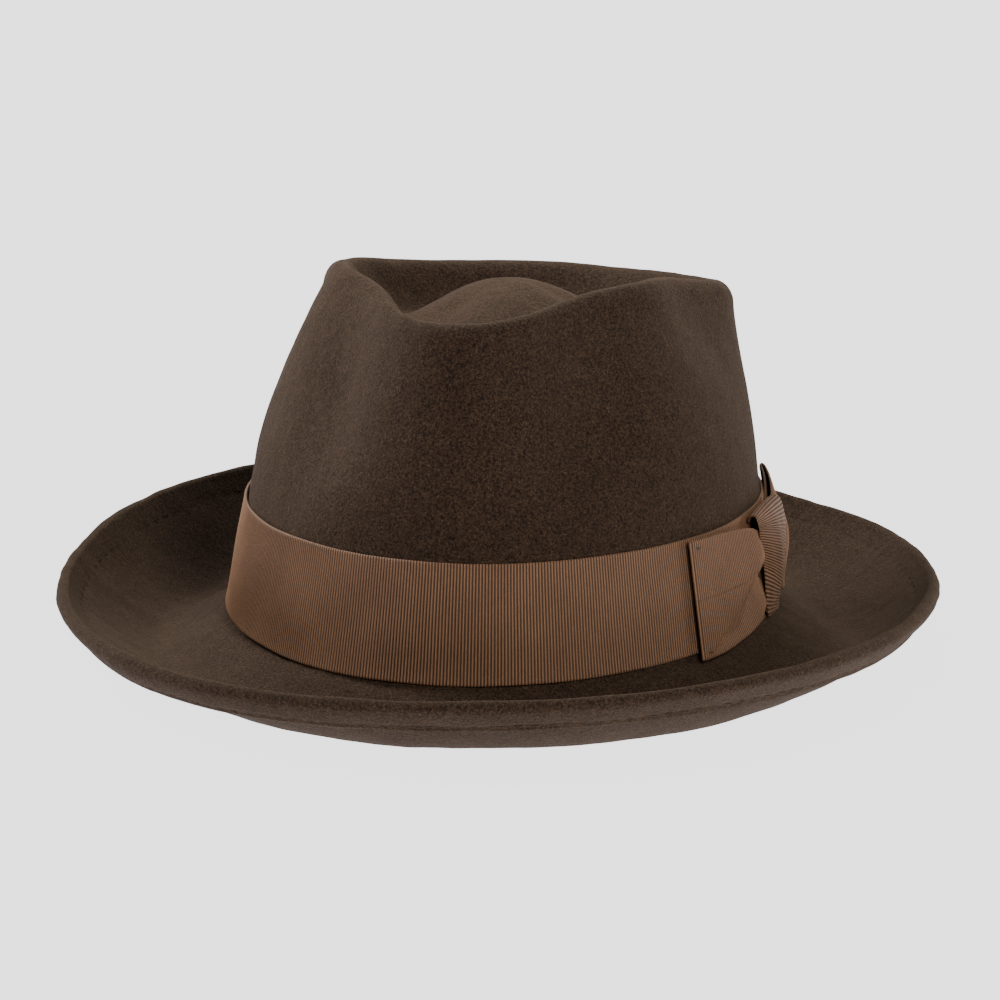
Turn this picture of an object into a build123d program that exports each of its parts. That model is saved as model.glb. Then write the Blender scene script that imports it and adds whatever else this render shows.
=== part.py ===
from build123d import *
import os
from math import cos, exp, hypot, pi, radians, sin, tan

# Teardrop-crown fedora in wool felt, a head size 58 (7 1/4).  Millimetres, +Z up.
# Origin: bottom centre of the bounding box.  -Y is the front of the hat, +X is the
# wearer's left, where the bow sits.  Angles run counter-clockwise from +X, so the
# front is at -90 degrees and the back at 90 degrees.

# ---- felt ----------------------------------------------------------------
FELT = 2.1                       # thickness of the felt
BREAK_Z = 11.9                   # height of the brim break above the lowest felt
HAT_SHIFT_X = 0.9                # moves the head oval so that the box is centred

# ---- head oval, measured on the outside of the felt at the break -----------
BASE_X = 86.5
BASE_Y = 104.5
EGG = 0.03                       # the oval is this much wider at the back

# ---- crown -----------------------------------------------------------------
WALL_LEAN = 10.4                 # degrees, at the sides
END_LEAN = 1.2                   # degrees more at the front and back
RIDGE_RADII = (74, 56, 51.5, 52, 68.5, 77, 81)      # front to back, every 30 degrees
RIDGE_HEIGHTS = (107, 112.5, 102.5, 95.5)           # front to back, every 60 degrees
SHOULDER_WIDTH = (6, 6.5, 7.5, 10)                  # front to back, every 60 degrees
SHOULDER_DROP = 8
BULGES = (0.8, 1.2, 2.4, 2.2)    # how far the wall swells over the ribbon, the same way
BULGE_START = 30
BULGE_POWER = 1.4
TAPER_START = 38                 # above this height the wall leaves its straight lean
TAPER_POWER = 1.6
PINCH_ANGLE = 38                 # degrees each side of the front
PINCH_HEIGHT = 74
PINCH_DEPTH = 5
PINCH_SPREAD = 15                # degrees
PINCH_TALL = 18
VALLEY_WIDTHS = (21, 16, 17, 19)                    # ridge to valley, front to back
VALLEY_DROPS = (15, 17, 16, 12)                     # below the ridge, front to back
BUBBLE_Y = 8                     # the bubble's top lies this far behind the centre
BUBBLE_Z = 104.5
BUBBLE_FLAT = 5                  # radius of the small level spot on its top

# ---- brim ------------------------------------------------------------------
BRIM_SIDE = 49.9                 # plan width at the sides
BRIM_END = 53.9                  # plan width at the front and back
LIP_SQUARENESS = 2.11            # superellipse power of the lip's plan
LIP_EGG = 0.021
LIP_SHIFT = -0.9                 # the brim is this much wider on the wearer's right
LIP_Z = 12.3                     # mean height of the lip above the break
LIP_BACK_RISE = 1.1
LIP_BOW_DROP = 2.5
LIP_TWIST = 3.0
LIP_LEAN = 33                    # degrees from upright, on the upper face at the lip
LIP_PULL = 16.4                  # how far the lip's and the gutter's slopes carry on
GUTTER_PULL = 22
FILLET_HEIGHT = 1.5
FILLET_REACH = 2.8
FILLET_FALL = 1.2
FILLET_SLOPE = 0.5
FILLET_PULL = 3.6
BRIM_PULL = 14
GUTTER_IN = 19.5                 # the level land under the brim, from the break
GUTTER_OUT = 23
GUTTER_FALL = BREAK_Z - FELT
WELT_GAP = 0.4                   # room for the nap between the two sewn layers
WELT_END = 0.28                  # how far down the curl the folded edge reaches
EDGE_RADIUS = FELT + WELT_GAP / 2

# ---- ribbon and bow ----------------------------------------------------------
RIBBON_TOP = 37.7                # a 38 mm ribbon, leaning with the wall, its top edge level
RIBBON_THICK = 0.8
RIBBON_LOW = 1.9                 # mean height of the lower edge above the break
RIBBON_WAVE = 1.2                # the lower edge is this much higher at the sides
RIBBON_GAP = 0.4

# The bow's wings are loops of the same ribbon: out along the face, round the free
# end and back underneath.  Each step is (degrees, out at the lower edge, out at the
# upper edge, low, high).
FRONT_WING = (
    (-3, 4.4, 4.4, 9, 27), (-7, 5.2, 5.4, 7, 32), (-10, 5.2, 5.4, 5, 34.3),
    (-14, 4.7, 4.9, 3.2, 35.7), (-19, 4.4, 4.5, 1.8, 36.6), (-24, 4.35, 4.4, 0.8, 37),
    (-29.6, 4.3, 4.3, 0.4, 37.2), (-30.4, 4.15, 4.15, 0.4, 37.2), (-30.9, 3.6, 3.6, 0.4, 37.2),
    (-30.4, 3.05, 3.05, 0.4, 37.2), (-29.6, 2.9, 2.9, 0.4, 37.2), (-24, 2.75, 2.75, 0.8, 37),
    (-18, 2.55, 2.55, 2, 36.4), (-12, 2.3, 2.3, 4, 34.8), (-3, 2.1, 2.1, 9, 27))
REAR_WING = (
    (1, 4.4, 4.6, 12, 27), (4, 4.8, 5.2, 11, 30), (8, 5.2, 6.0, 8.5, 33),
    (11.5, 5.6, 7.8, 6, 36.6), (15, 5.2, 6.6, 4.6, 39.2), (18.5, 4.7, 5.0, 3.7, 40.5),
    (22, 4.3, 3.8, 3, 41), (24.6, 4.1, 3.3, 2.8, 41.2), (25.4, 4.0, 3.15, 2.8, 41.2),
    (25.9, 3.5, 2.6, 2.8, 41.2), (25.4, 3.0, 2.05, 2.8, 41.2), (24.6, 2.9, 1.95, 2.8, 41.2),
    (20, 2.7, 2.0, 3.4, 40.6), (14, 2.5, 2.2, 5, 37.6), (8, 2.3, 2.3, 8.5, 32.5),
    (1, 2.1, 2.1, 12, 27))

# The knot is a shorter ribbon over the middle: (height, out, half width in degrees).
KNOT_ANGLE = 1.5
KNOT_PATH = (
    (35.2, 2.5, 7.2), (36.9, 3.2, 7.4), (37.7, 4.7, 7.5), (36.8, 6.3, 7.4),
    (33, 7.7, 7.0), (28, 8.2, 6.2), (22, 8.3, 5.2), (15, 8.0, 4.4),
    (9, 7.0, 3.8), (5.8, 5.2, 3.6), (5.4, 3.6, 3.6), (7.5, 2.3, 3.6))

# ---- inside ------------------------------------------------------------------
SWEAT_HEIGHT = 36
SWEAT_THICK = 1.1
SWEAT_OFFSET = 0.9               # from the felt to the leather
REED_RADIUS = 0.8
LINING_THICK = 0.35
LINING_GAP = 0.15
LINING_LOW = 12
LINING_HIGH = 74
TIP_DROP = 1.0
TIP_RISE = 4.0
SWEAT_LOW = -2.0
REED_Z = -1.2
TAPE_LOW = 0.2
TAPE_HIGH = 9.0
SWEAT_STITCH_Z = 2.0
SEAM_TAPE_WIDTH = 9
SEAM_TAPE_THICK = 0.5
SEAM_TAPE_LOW = 4
SEAM_TAPE_HIGH = 33
LABEL_ANGLE = 68
LABEL_WIDTH = 22
LABEL_THICK = 0.25
LABEL_LOW = 14
LABEL_HIGH = 30

# ---- thread --------------------------------------------------------------------
THREAD_RADIUS = 0.25
THREAD_LIFT = 0.05
WELT_STITCH = 0.225              # place of the stitch line down the curl
TACK_LENGTH = 2.2
TACK_WIDTH = 0.5
TACK_OUT = 5.0

ROUND_PULL = 1.6                 # end slopes that make a cubic nearly a quarter circle
RING_POINTS = 48
STEP = 1e-3


# ---- small helpers -------------------------------------------------------------
def series(values, angle):
    """Smooth even curve through equally spaced values from front (0) to back (pi)."""
    last = len(values) - 1
    total = 0
    for k in range(last + 1):
        weight_k = 0.5 if k in (0, last) else 1
        for j, value in enumerate(values):
            weight_j = 0.5 if j in (0, last) else 1
            total += 2 / last * weight_k * weight_j * value * cos(k * j * pi / last) * cos(k * angle)
    return total


def from_front(t):
    return t + pi / 2


def hermite(p0, d0, p1, d1, u):
    """Cubic from p0 to p1 with end tangents d0 and d1."""
    a = 2 * u**3 - 3 * u**2 + 1
    b = u**3 - 2 * u**2 + u
    c = 3 * u**2 - 2 * u**3
    d = u**3 - u**2
    return p0 * a + d0 * b + p1 * c + d1 * d


def polar(radius, t, z):
    return Vector(radius * cos(t), radius * sin(t), z)


# ---- guide loops -----------------------------------------------------------------
def straight_wall(t, z):
    """The crown wall without its taper: an oval leaning in with height."""
    shrink = z * tan(radians(WALL_LEAN + END_LEAN * sin(t)**2))
    x = (BASE_X - shrink) * cos(t) * (1 + EGG * sin(t))
    y = (BASE_Y - shrink) * sin(t)
    return Vector(x, y, z)


def ridge(t):
    a = from_front(t)
    return polar(series(RIDGE_RADII, a), t, series(RIDGE_HEIGHTS, a))


def shoulder(t):
    a = from_front(t)
    top = ridge(t)
    radius = hypot(top.X, top.Y) + series(SHOULDER_WIDTH, a)
    return polar(radius, t, top.Z - SHOULDER_DROP)


def valley(t):
    a = from_front(t)
    top = ridge(t)
    radius = hypot(top.X, top.Y) - series(VALLEY_WIDTHS, a)
    return polar(radius, t, top.Z - series(VALLEY_DROPS, a))


def wall(t, z):
    """A point of the crown wall at a height above the break."""
    high = shoulder(t)
    rise = max(0.0, (z - TAPER_START) / (high.Z - TAPER_START))
    taper = (high - straight_wall(t, high.Z)) * rise**TAPER_POWER
    share = min(1.0, max(0.0, (z - BULGE_START) / (high.Z - BULGE_START)))
    swell = polar(series(BULGES, from_front(t)) * sin(pi * share)**BULGE_POWER, t, 0)
    away = degrees_from_front(t)
    dent = PINCH_DEPTH * exp(-((z - PINCH_HEIGHT) / PINCH_TALL)**2)
    dent *= exp(-((away - PINCH_ANGLE) / PINCH_SPREAD)**2)
    dent *= 1 - rise**8
    return straight_wall(t, z) + taper + swell - polar(dent, t, 0)


def degrees_from_front(t):
    a = abs((from_front(t) + pi) % (2 * pi) - pi)
    return a * 180 / pi


def lip(t):
    c = cos(t)
    s = sin(t)
    power = 2 / LIP_SQUARENESS
    x = (BASE_X + BRIM_SIDE) * abs(c)**power * (1 if c > 0 else -1) * (1 + LIP_EGG * s)
    x += LIP_SHIFT
    y = (BASE_Y + BRIM_END) * abs(s)**power * (1 if s > 0 else -1)
    z = LIP_Z + LIP_BACK_RISE * s - LIP_BOW_DROP * c - LIP_TWIST * sin(2 * t)
    return Vector(x, y, z)


def brim_point(t, reach, z):
    """A point of the brim: reach is the plan distance outward from the break."""
    base = straight_wall(t, 0)
    edge = lip(t)
    out = Vector(edge.X - base.X, edge.Y - base.Y, 0).normalized()
    return Vector(base.X, base.Y, 0) + out * reach + Vector(0, 0, z)


# ---- the felt's upper face, from the lip inward to the top of the bubble ----------
CURL, LAND, BRIM, FILLET, WALL, SHOULDER, SLOPE, BUBBLE = range(8)


def upper(t, part, u):
    base = straight_wall(t, 0)
    edge = lip(t)
    width = hypot(edge.X - base.X, edge.Y - base.Y)
    out = brim_point(t, 1, 0) - brim_point(t, 0, 0)
    up = Vector(0, 0, 1)
    land_out = brim_point(t, GUTTER_OUT, -GUTTER_FALL)
    land_in = brim_point(t, GUTTER_IN, -GUTTER_FALL)
    if part == CURL:
        start = brim_point(t, width - EDGE_RADIUS, edge.Z - EDGE_RADIUS)
        down = out * -sin(radians(LIP_LEAN)) - up * cos(radians(LIP_LEAN))
        return hermite(start, down * LIP_PULL, land_out, out * -GUTTER_PULL, u)
    if part == LAND:
        return land_out + (land_in - land_out) * u
    foot = brim_point(t, FILLET_REACH, -FILLET_FALL)
    slope = up * FILLET_SLOPE - out
    if part == BRIM:
        return hermite(land_in, out * -BRIM_PULL, foot, slope * BRIM_PULL, u)
    low = wall(t, FILLET_HEIGHT)
    if part == FILLET:
        rise = (wall(t, FILLET_HEIGHT + 1) - low) * FILLET_PULL
        return hermite(foot, slope * FILLET_PULL, low, rise, u)
    high = shoulder(t)
    if part == WALL:
        return wall(t, FILLET_HEIGHT + (high.Z - FILLET_HEIGHT) * u)
    top = ridge(t)
    inward = Vector(-cos(t), -sin(t), 0)
    if part == SHOULDER:
        climb = (high - wall(t, high.Z - STEP)) * (ROUND_PULL * SHOULDER_DROP / STEP)
        across = hypot(high.X - top.X, high.Y - top.Y)
        return hermite(high, climb, top, inward * across * ROUND_PULL, u)
    dip = valley(t)
    if part == SLOPE:
        across = hypot(top.X - dip.X, top.Y - dip.Y)
        return hermite(top, inward * across * 1.1, dip, inward * across * 1.3, u)
    crest = Vector(0, BUBBLE_Y, BUBBLE_Z) + polar(BUBBLE_FLAT, t, 0)
    run = Vector(crest.X - dip.X, crest.Y - dip.Y, 0)
    return hermite(dip, inward * run.length * 0.9, crest, inward * run.length * 1.3, u)


def normal(t, part, u):
    """Unit normal on the outer side of the felt."""
    low = max(0.0, u - STEP)
    high = min(1.0, u + STEP)
    along = upper(t + STEP, part, u) - upper(t - STEP, part, u)
    across = upper(t, part, high) - upper(t, part, low)
    return along.cross(across).normalized()


def offset(t, part, u, depth):
    """A point at a depth below the upper face, along its normal."""
    return upper(t, part, u) - normal(t, part, u) * depth


# ---- rings and solids ---------------------------------------------------------------
LIFT = Vector(HAT_SHIFT_X, 0, BREAK_Z)


def ring(point_at, count=RING_POINTS):
    """Closed smooth ring through point_at(t), in the part's own frame."""
    angles = [2 * pi * i / count for i in range(count)]
    points = [point_at(t) + LIFT for t in angles]
    spacing = [i / count for i in range(count + 1)]
    return Wire([Edge.make_spline(points, periodic=True, parameters=spacing)])


def close_solid(faces):
    shells = Face.sew_faces(faces)
    shell = Shell(shells[0]) if len(shells) == 1 else None
    return Solid(shell)


def skin(rings):
    """Faces through rings, smooth through three or more."""
    return Shell.make_loft(rings).faces()


def run(part, count, point_at):
    """Evenly spaced rings over one stretch of the felt, from its outer end inward."""
    return [ring(lambda t: point_at(t, part, i / count)) for i in range(count + 1)]


def ring_solid(*chains):
    """A closed hoop: each chain of rings is one side of its cross-section."""
    faces = []
    for chain in chains:
        faces += skin(chain)
    return close_solid(faces)


def beside_wall(t, z, out):
    """A point at a height on the crown wall, moved out along the wall's normal."""
    side = wall(t + STEP, z) - wall(t - STEP, z)
    rise = wall(t, z + STEP) - wall(t, z - STEP)
    return wall(t, z) + side.cross(rise).normalized() * out


def hoop(corners):
    """A hoop beside the wall with flat sides between (height, out) corners."""
    rings = [ring(lambda t: beside_wall(t, z, out)) for z, out in corners]
    sides = [[rings[i - 1], rings[i]] for i in range(len(rings))]
    return ring_solid(*sides)


def cord_hoop(point_at, radius, sides=8):
    """A round thread or cane hoop: point_at(t, x, y) gives a point of its section."""
    rings = []
    for i in range(sides):
        a = 2 * pi * i / sides
        rings.append(ring(lambda t: point_at(t, radius * cos(a), radius * sin(a))))
    return ring_solid(*[[rings[i - 1], rings[i]] for i in range(sides)])


def strip(sections):
    """A ribbon through four-cornered sections, smooth along its four long edges."""
    def edge(points):
        if len(points) == 2:
            return Edge.make_line(*points)
        return Edge.make_spline(points)

    placed = [[p + LIFT for p in corners] for corners in sections]
    longs = [edge([corners[i] for corners in placed]) for i in range(4)]
    faces = [Face.make_surface_from_curves(longs[i - 1], longs[i]) for i in range(4)]
    for corners in (placed[0], placed[-1]):
        near = Edge.make_line(corners[0], corners[1])
        far = Edge.make_line(corners[3], corners[2])
        faces.append(Face.make_surface_from_curves(near, far))
    return close_solid(faces)


def edge_round(angle):
    """The rolled lip: half a turn from the upper face (0) to the folded edge (pi)."""
    radius = EDGE_RADIUS

    def at(t):
        centre = offset(t, CURL, 0, radius)
        tip = (upper(t, CURL, 0) - upper(t, CURL, STEP)).normalized()
        return centre + (normal(t, CURL, 0) * cos(angle) + tip * sin(angle)) * radius
    return at


def felt_body():
    double = 2 * FELT + WELT_GAP

    def under(t, part, u):
        return offset(t, part, u, FELT)

    fold = [ring(lambda t: offset(t, CURL, WELT_END * (1 - i / 3), double)) for i in range(4)]
    rolled = [ring(edge_round(pi - pi * i / 6)) for i in range(7)]
    rolled[0] = fold[-1]
    counts = {CURL: 5, LAND: 1, BRIM: 4, FILLET: 3, WALL: 10, SHOULDER: 4, SLOPE: 5, BUBBLE: 6}
    faces = skin(fold) + skin(rolled)
    last = rolled[-1]
    for part, count in counts.items():
        rings = run(part, count, upper)
        rings[0] = last
        last = rings[-1]
        faces += skin(rings)
    faces.append(Face(last))

    raw = ring(lambda t: under(t, CURL, WELT_END))
    faces += skin([fold[0], raw])
    steps = [WELT_END + (1 - WELT_END) * i / 3 for i in range(4)]
    rings = [ring(lambda t: under(t, CURL, u)) for u in steps]
    land_out = ring(lambda t: under(t, LAND, 0))
    land_in = ring(lambda t: under(t, LAND, 1))
    rings[0] = raw
    rings[-1] = land_out
    faces += skin(rings)
    faces.append(Face(land_out, [land_in]))
    last = land_in
    for part in (BRIM, FILLET, WALL, SHOULDER, SLOPE, BUBBLE):
        rings = run(part, counts[part], under)
        rings[0] = last
        last = rings[-1]
        faces += skin(rings)
    faces.append(Face(last))
    return close_solid(faces)


def welt_stitching():
    """One thread hoop on the upper face, a little inside the folded edge's raw end."""
    def at(t, x, y):
        u = WELT_STITCH + x / 20
        return offset(t, CURL, u, -THREAD_RADIUS - THREAD_LIFT - y)
    return cord_hoop(at, THREAD_RADIUS, 6)


def ribbon_low(t):
    return RIBBON_LOW + RIBBON_WAVE * cos(2 * t)


def ribbon_top(t):
    return RIBBON_TOP


def ribbon_band():
    inner = RIBBON_GAP
    outer = RIBBON_GAP + RIBBON_THICK

    def corner(height, out):
        return ring(lambda t: beside_wall(t, height(t), out))

    rings = [corner(ribbon_low, inner), corner(ribbon_top, inner),
             corner(ribbon_top, outer), corner(ribbon_low, outer)]
    return ring_solid(*[[rings[i - 1], rings[i]] for i in range(4)])


def bow_ribbon(path):
    """A ribbon standing on edge beside the crown, through the steps of a wing's path."""
    half = RIBBON_THICK / 2
    lows = [beside_wall(radians(deg), low, out) for deg, out, top_out, low, high in path]
    highs = [beside_wall(radians(deg), high, top_out) for deg, out, top_out, low, high in path]
    mids = [(a + b) * 0.5 for a, b in zip(lows, highs)]
    sections = []
    for i, (bottom, top) in enumerate(zip(lows, highs)):
        ahead = mids[min(i + 1, len(mids) - 1)] - mids[max(i - 1, 0)]
        side = Vector(ahead.Y, -ahead.X, 0).normalized() * half
        sections.append([bottom - side, bottom + side, top + side, top - side])
    return strip(sections)


def bow_knot():
    """The short ribbon wrapped up and over the middle of the bow."""
    half = RIBBON_THICK / 2
    centre = radians(KNOT_ANGLE)
    mids = [Vector(out, z) for z, out, wide in KNOT_PATH]
    sections = []
    for i, (z, out, wide) in enumerate(KNOT_PATH):
        ahead = (mids[min(i + 1, len(mids) - 1)] - mids[max(i - 1, 0)]).normalized()
        dz, dout = ahead.X * half, -ahead.Y * half
        left = centre - radians(wide)
        right = centre + radians(wide)
        sections.append([beside_wall(left, z + dz, out + dout),
                         beside_wall(right, z + dz, out + dout),
                         beside_wall(right, z - dz, out - dout),
                         beside_wall(left, z - dz, out - dout)])
    return strip(sections)


def bow_tack(deg, z, out):
    """A single stitch lying on the front wing, along the ribbon."""
    sections = []
    for shift in (-TACK_LENGTH / 2, TACK_LENGTH / 2):
        t = radians(deg) + shift / BASE_X
        sections.append([beside_wall(t, z, out), beside_wall(t, z + TACK_WIDTH, out),
                         beside_wall(t, z + TACK_WIDTH, out + TACK_WIDTH),
                         beside_wall(t, z, out + TACK_WIDTH)])
    return strip(sections)


def sweatband():
    outer = -(FELT + SWEAT_OFFSET)
    inner = outer - SWEAT_THICK
    return hoop([(SWEAT_LOW, outer), (SWEAT_LOW + SWEAT_HEIGHT, outer),
                 (SWEAT_LOW + SWEAT_HEIGHT, inner), (SWEAT_LOW, inner)])


def sweatband_reed():
    """The springy round cord beside the leather's lower edge."""
    out = -(FELT + SWEAT_OFFSET) + REED_RADIUS + 0.2
    return cord_hoop(lambda t, x, y: beside_wall(t, REED_Z + y, out + x), REED_RADIUS)


def reed_tape():
    outer = -(FELT + SWEAT_OFFSET) + 0.35
    inner = -(FELT + SWEAT_OFFSET) + 0.1
    return hoop([(TAPE_LOW, outer), (TAPE_HIGH, outer), (TAPE_HIGH, inner), (TAPE_LOW, inner)])


def sweatband_stitching():
    out = -(FELT + SWEAT_OFFSET + SWEAT_THICK + THREAD_LIFT + THREAD_RADIUS)
    return cord_hoop(lambda t, x, y: beside_wall(t, SWEAT_STITCH_Z + y, out + x),
                     THREAD_RADIUS, 6)


def sweatband_seam_tape():
    """The narrow strip that covers the leather's butt seam at the back."""
    out = -(FELT + SWEAT_OFFSET + SWEAT_THICK + 0.1)
    back = pi / 2
    half = SEAM_TAPE_WIDTH / 2 / BASE_Y
    sections = []
    for z in (SEAM_TAPE_LOW, SEAM_TAPE_HIGH):
        sections.append([beside_wall(back - half, z, out),
                         beside_wall(back + half, z, out),
                         beside_wall(back + half, z, out - SEAM_TAPE_THICK),
                         beside_wall(back - half, z, out - SEAM_TAPE_THICK)])
    return strip(sections)


def lining_side():
    outer = -(FELT + LINING_GAP)
    inner = outer - LINING_THICK
    heights = [LINING_LOW + (LINING_HIGH - LINING_LOW) * i / 8 for i in range(9)]
    outside = [ring(lambda t: beside_wall(t, z, outer)) for z in heights]
    inside = [ring(lambda t: beside_wall(t, z, inner)) for z in heights]
    return ring_solid(outside, [outside[-1], inside[-1]], inside, [inside[0], outside[0]])


def lining_tip():
    """The oval panel that closes the top of the lining, gently domed."""
    def panel(share, drop):
        def at(t):
            edge = beside_wall(t, LINING_HIGH, -(FELT + LINING_GAP + LINING_THICK + 0.3))
            flat = Vector(edge.X, edge.Y, 0) * share
            rise = TIP_RISE * cos(share * pi / 2)**2
            return flat + Vector(0, 0, LINING_HIGH - TIP_DROP + rise - drop)
        return at
    shares = (1, 0.8, 0.6, 0.4, 0.2, 0.05)
    top = [ring(panel(share, 0)) for share in shares]
    under = [ring(panel(share, LINING_THICK)) for share in shares]
    faces = skin(top) + skin(under) + skin([top[0], under[0]])
    faces += [Face(top[-1]), Face(under[-1])]
    return close_solid(faces)


def size_label():
    """A blank woven label behind the upper edge of the leather, at the back left."""
    out = -(FELT + SWEAT_OFFSET + SWEAT_THICK + 0.1)
    middle = radians(LABEL_ANGLE)
    half = LABEL_WIDTH / 2 / BASE_Y
    sections = []
    for z in (LABEL_LOW, LABEL_HIGH):
        sections.append([beside_wall(middle - half, z, out),
                         beside_wall(middle + half, z, out),
                         beside_wall(middle + half, z, out - LABEL_THICK),
                         beside_wall(middle - half, z, out - LABEL_THICK)])
    return strip(sections)


PARTS = {
    "felt_body": felt_body(),
    "welt_stitching": welt_stitching(),
    "ribbon_band": ribbon_band(),
    "bow_front_wing": bow_ribbon(FRONT_WING),
    "bow_rear_wing": bow_ribbon(REAR_WING),
    "bow_knot": bow_knot(),
    "bow_tack_top": bow_tack(-28.8, 34.6, TACK_OUT),
    "bow_tack_bottom": bow_tack(-28.8, 2.4, TACK_OUT),
    "sweatband": sweatband(),
    "sweatband_reed": sweatband_reed(),
    "reed_tape": reed_tape(),
    "sweatband_stitching": sweatband_stitching(),
    "sweatband_seam_tape": sweatband_seam_tape(),
    "lining_side": lining_side(),
    "lining_tip": lining_tip(),
    "size_label": size_label(),
}

os.makedirs("parts", exist_ok=True)
for name, solid in PARTS.items():
    export_step(solid, "parts/" + name + ".step")
    print(name, solid.is_valid, round(solid.volume, 1))
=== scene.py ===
# The looks of a felt fedora: felt, ribbon, bow, stitches, leather and lining. Every piece is
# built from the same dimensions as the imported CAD. Shapes are in millimetres, with the crown's
# break as the origin; make_object turns them into metres and puts the hat on the floor.
import math

import bmesh
import bpy
import numpy as np
from mathutils import Matrix, Vector


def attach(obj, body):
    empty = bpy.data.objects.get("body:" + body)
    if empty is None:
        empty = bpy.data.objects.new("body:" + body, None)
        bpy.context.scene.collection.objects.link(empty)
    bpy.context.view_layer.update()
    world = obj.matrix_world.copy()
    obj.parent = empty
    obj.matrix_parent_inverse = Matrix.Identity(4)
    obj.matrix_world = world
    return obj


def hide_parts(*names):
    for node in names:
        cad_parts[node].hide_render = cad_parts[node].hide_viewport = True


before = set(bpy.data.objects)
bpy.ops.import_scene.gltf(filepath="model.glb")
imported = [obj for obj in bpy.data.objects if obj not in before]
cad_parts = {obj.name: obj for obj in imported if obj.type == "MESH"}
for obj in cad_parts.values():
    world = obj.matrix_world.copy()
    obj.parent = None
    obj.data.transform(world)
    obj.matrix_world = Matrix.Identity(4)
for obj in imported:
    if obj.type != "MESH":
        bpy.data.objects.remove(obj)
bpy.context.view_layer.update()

MM = 0.001
BODY = "root"
STEP = 1e-3  # the small difference used for slopes

# ---- the hat's shape, as in the CAD (millimetres) --------------------------------
# A list of values runs from the front of the hat to the back, at equal angles.
FELT = 2.1
BREAK_Z, HAT_SHIFT_X = 11.9, 0.9
BASE_X, BASE_Y, EGG = 86.5, 104.5, 0.03
WALL_LEAN, END_LEAN = 10.4, 1.2
RIDGE_RADII = (74, 56, 51.5, 52, 68.5, 77, 81)
RIDGE_HEIGHTS = (107, 112.5, 102.5, 95.5)
SHOULDER_WIDTH = (6, 6.5, 7.5, 10)
SHOULDER_DROP = 8
BULGES = (0.8, 1.2, 2.4, 2.2)
BULGE_START, BULGE_POWER = 30, 1.4
TAPER_START, TAPER_POWER = 38, 1.6
PINCH_ANGLE, PINCH_HEIGHT, PINCH_DEPTH = 38, 74, 5
PINCH_SPREAD, PINCH_TALL = 15, 18
VALLEY_WIDTHS = (21, 16, 17, 19)
VALLEY_DROPS = (15, 17, 16, 12)
BUBBLE_Y, BUBBLE_Z, BUBBLE_TIP = 8, 104.5, 0.2
BRIM_SIDE, BRIM_END = 49.9, 53.9
LIP_SQUARENESS, LIP_EGG, LIP_SHIFT = 2.11, 0.021, -0.9
LIP_Z, LIP_BACK_RISE, LIP_BOW_DROP, LIP_TWIST = 12.3, 1.1, 2.5, 3.0
LIP_LEAN, LIP_PULL, GUTTER_PULL, BRIM_PULL = 33, 16.4, 22, 14
FILLET_HEIGHT, FILLET_REACH, FILLET_FALL = 1.5, 2.8, 1.2
FILLET_SLOPE, FILLET_PULL = 0.5, 3.6
GUTTER_IN, GUTTER_OUT = 19.5, 23
GUTTER_FALL = BREAK_Z - FELT
WELT_GAP, WELT_END, WELT_STITCH = 0.4, 0.28, 0.225
EDGE_RADIUS = FELT + WELT_GAP / 2
ROUND_PULL = 1.6

RIBBON_TOP, RIBBON_THICK = 37.7, 0.8
RIBBON_LOW, RIBBON_WAVE, RIBBON_GAP = 1.9, 1.2, 0.4
RIB_PITCH, PICK_PITCH, RIB_DEPTH = 1.0, 0.42, 0.14
BOW_WIDTH, KNOT_WIDTH, BOW_THICK = 38, 25, 0.55
FOLD_DEPTH, FOLD_PUFF, REAR_PUFF = 3.7, 1.8, 3.9
KNOT_SLANT, KNOT_FRONT_FALL, KNOT_REAR_FALL = 4.6, 4.2, 2.2
SWEAT_OUT, SWEAT_THICK, SWEAT_LOW, SWEAT_HIGH = -3.0, 1.1, -2.0, 34.0
SWEAT_SEAM_Z, SWEAT_STITCHES = 2.0, 170
REED_RADIUS, REED_Z, REED_OUT = 0.8, -1.2, -2.0
TAPE_LOW, TAPE_HIGH = 0.2, 9.0
SEAM_TAPE_WIDTH, SEAM_TAPE_LOW, SEAM_TAPE_HIGH, SEAM_TAPE_THICK = 9, 4, 33, 0.5
LABEL_DEGREES, LABEL_WIDTH, LABEL_LOW, LABEL_HIGH, LABEL_THICK = 68, 22, 14, 30, 0.25
LINING_OUT, LINING_THICK, LINING_LOW, LINING_HIGH = -2.25, 0.35, 12, 74
LINING_GATHERS = 46
TACK_DEGREES, TACK_REACH, TACK_OUT = -28.8, 0.012, 4.85
TACK_TOP_Z, TACK_BOTTOM_Z = 34.6, 2.4

# the felt's upper face, part by part, from the lip inward
CURL, LAND, BRIM, FILLET, WALL, SHOULDER, SLOPE, BUBBLE = range(8)
UP = np.array([0.0, 0.0, 1.0])


def column(x, y, z):
    """Points from x, y and z, each an array over the angle or one number."""
    x, y, z = np.broadcast_arrays(x, y, z)
    return np.stack([x, y, z], axis=-1).astype(float)


def polar(radius, t, z):
    return column(radius * np.cos(t), radius * np.sin(t), z)


def unit(v):
    return v / np.linalg.norm(v, axis=-1, keepdims=True)


def plan_length(v):
    return np.hypot(v[..., 0], v[..., 1])


def series(values, angle):
    """Smooth even curve through equally spaced values from front (0) to back (pi)."""
    last = len(values) - 1
    ends = np.ones(last + 1)
    ends[[0, -1]] = 0.5
    nodes = np.arange(last + 1)
    total = 0
    for k in range(last + 1):
        weight = 2 / last * ends[k] * np.sum(ends * values * np.cos(k * nodes * np.pi / last))
        total = total + weight * np.cos(k * angle)
    return total


def from_front(t):
    """Angle from the front of the hat, where t starts at the bow's side."""
    return t + np.pi / 2


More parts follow.
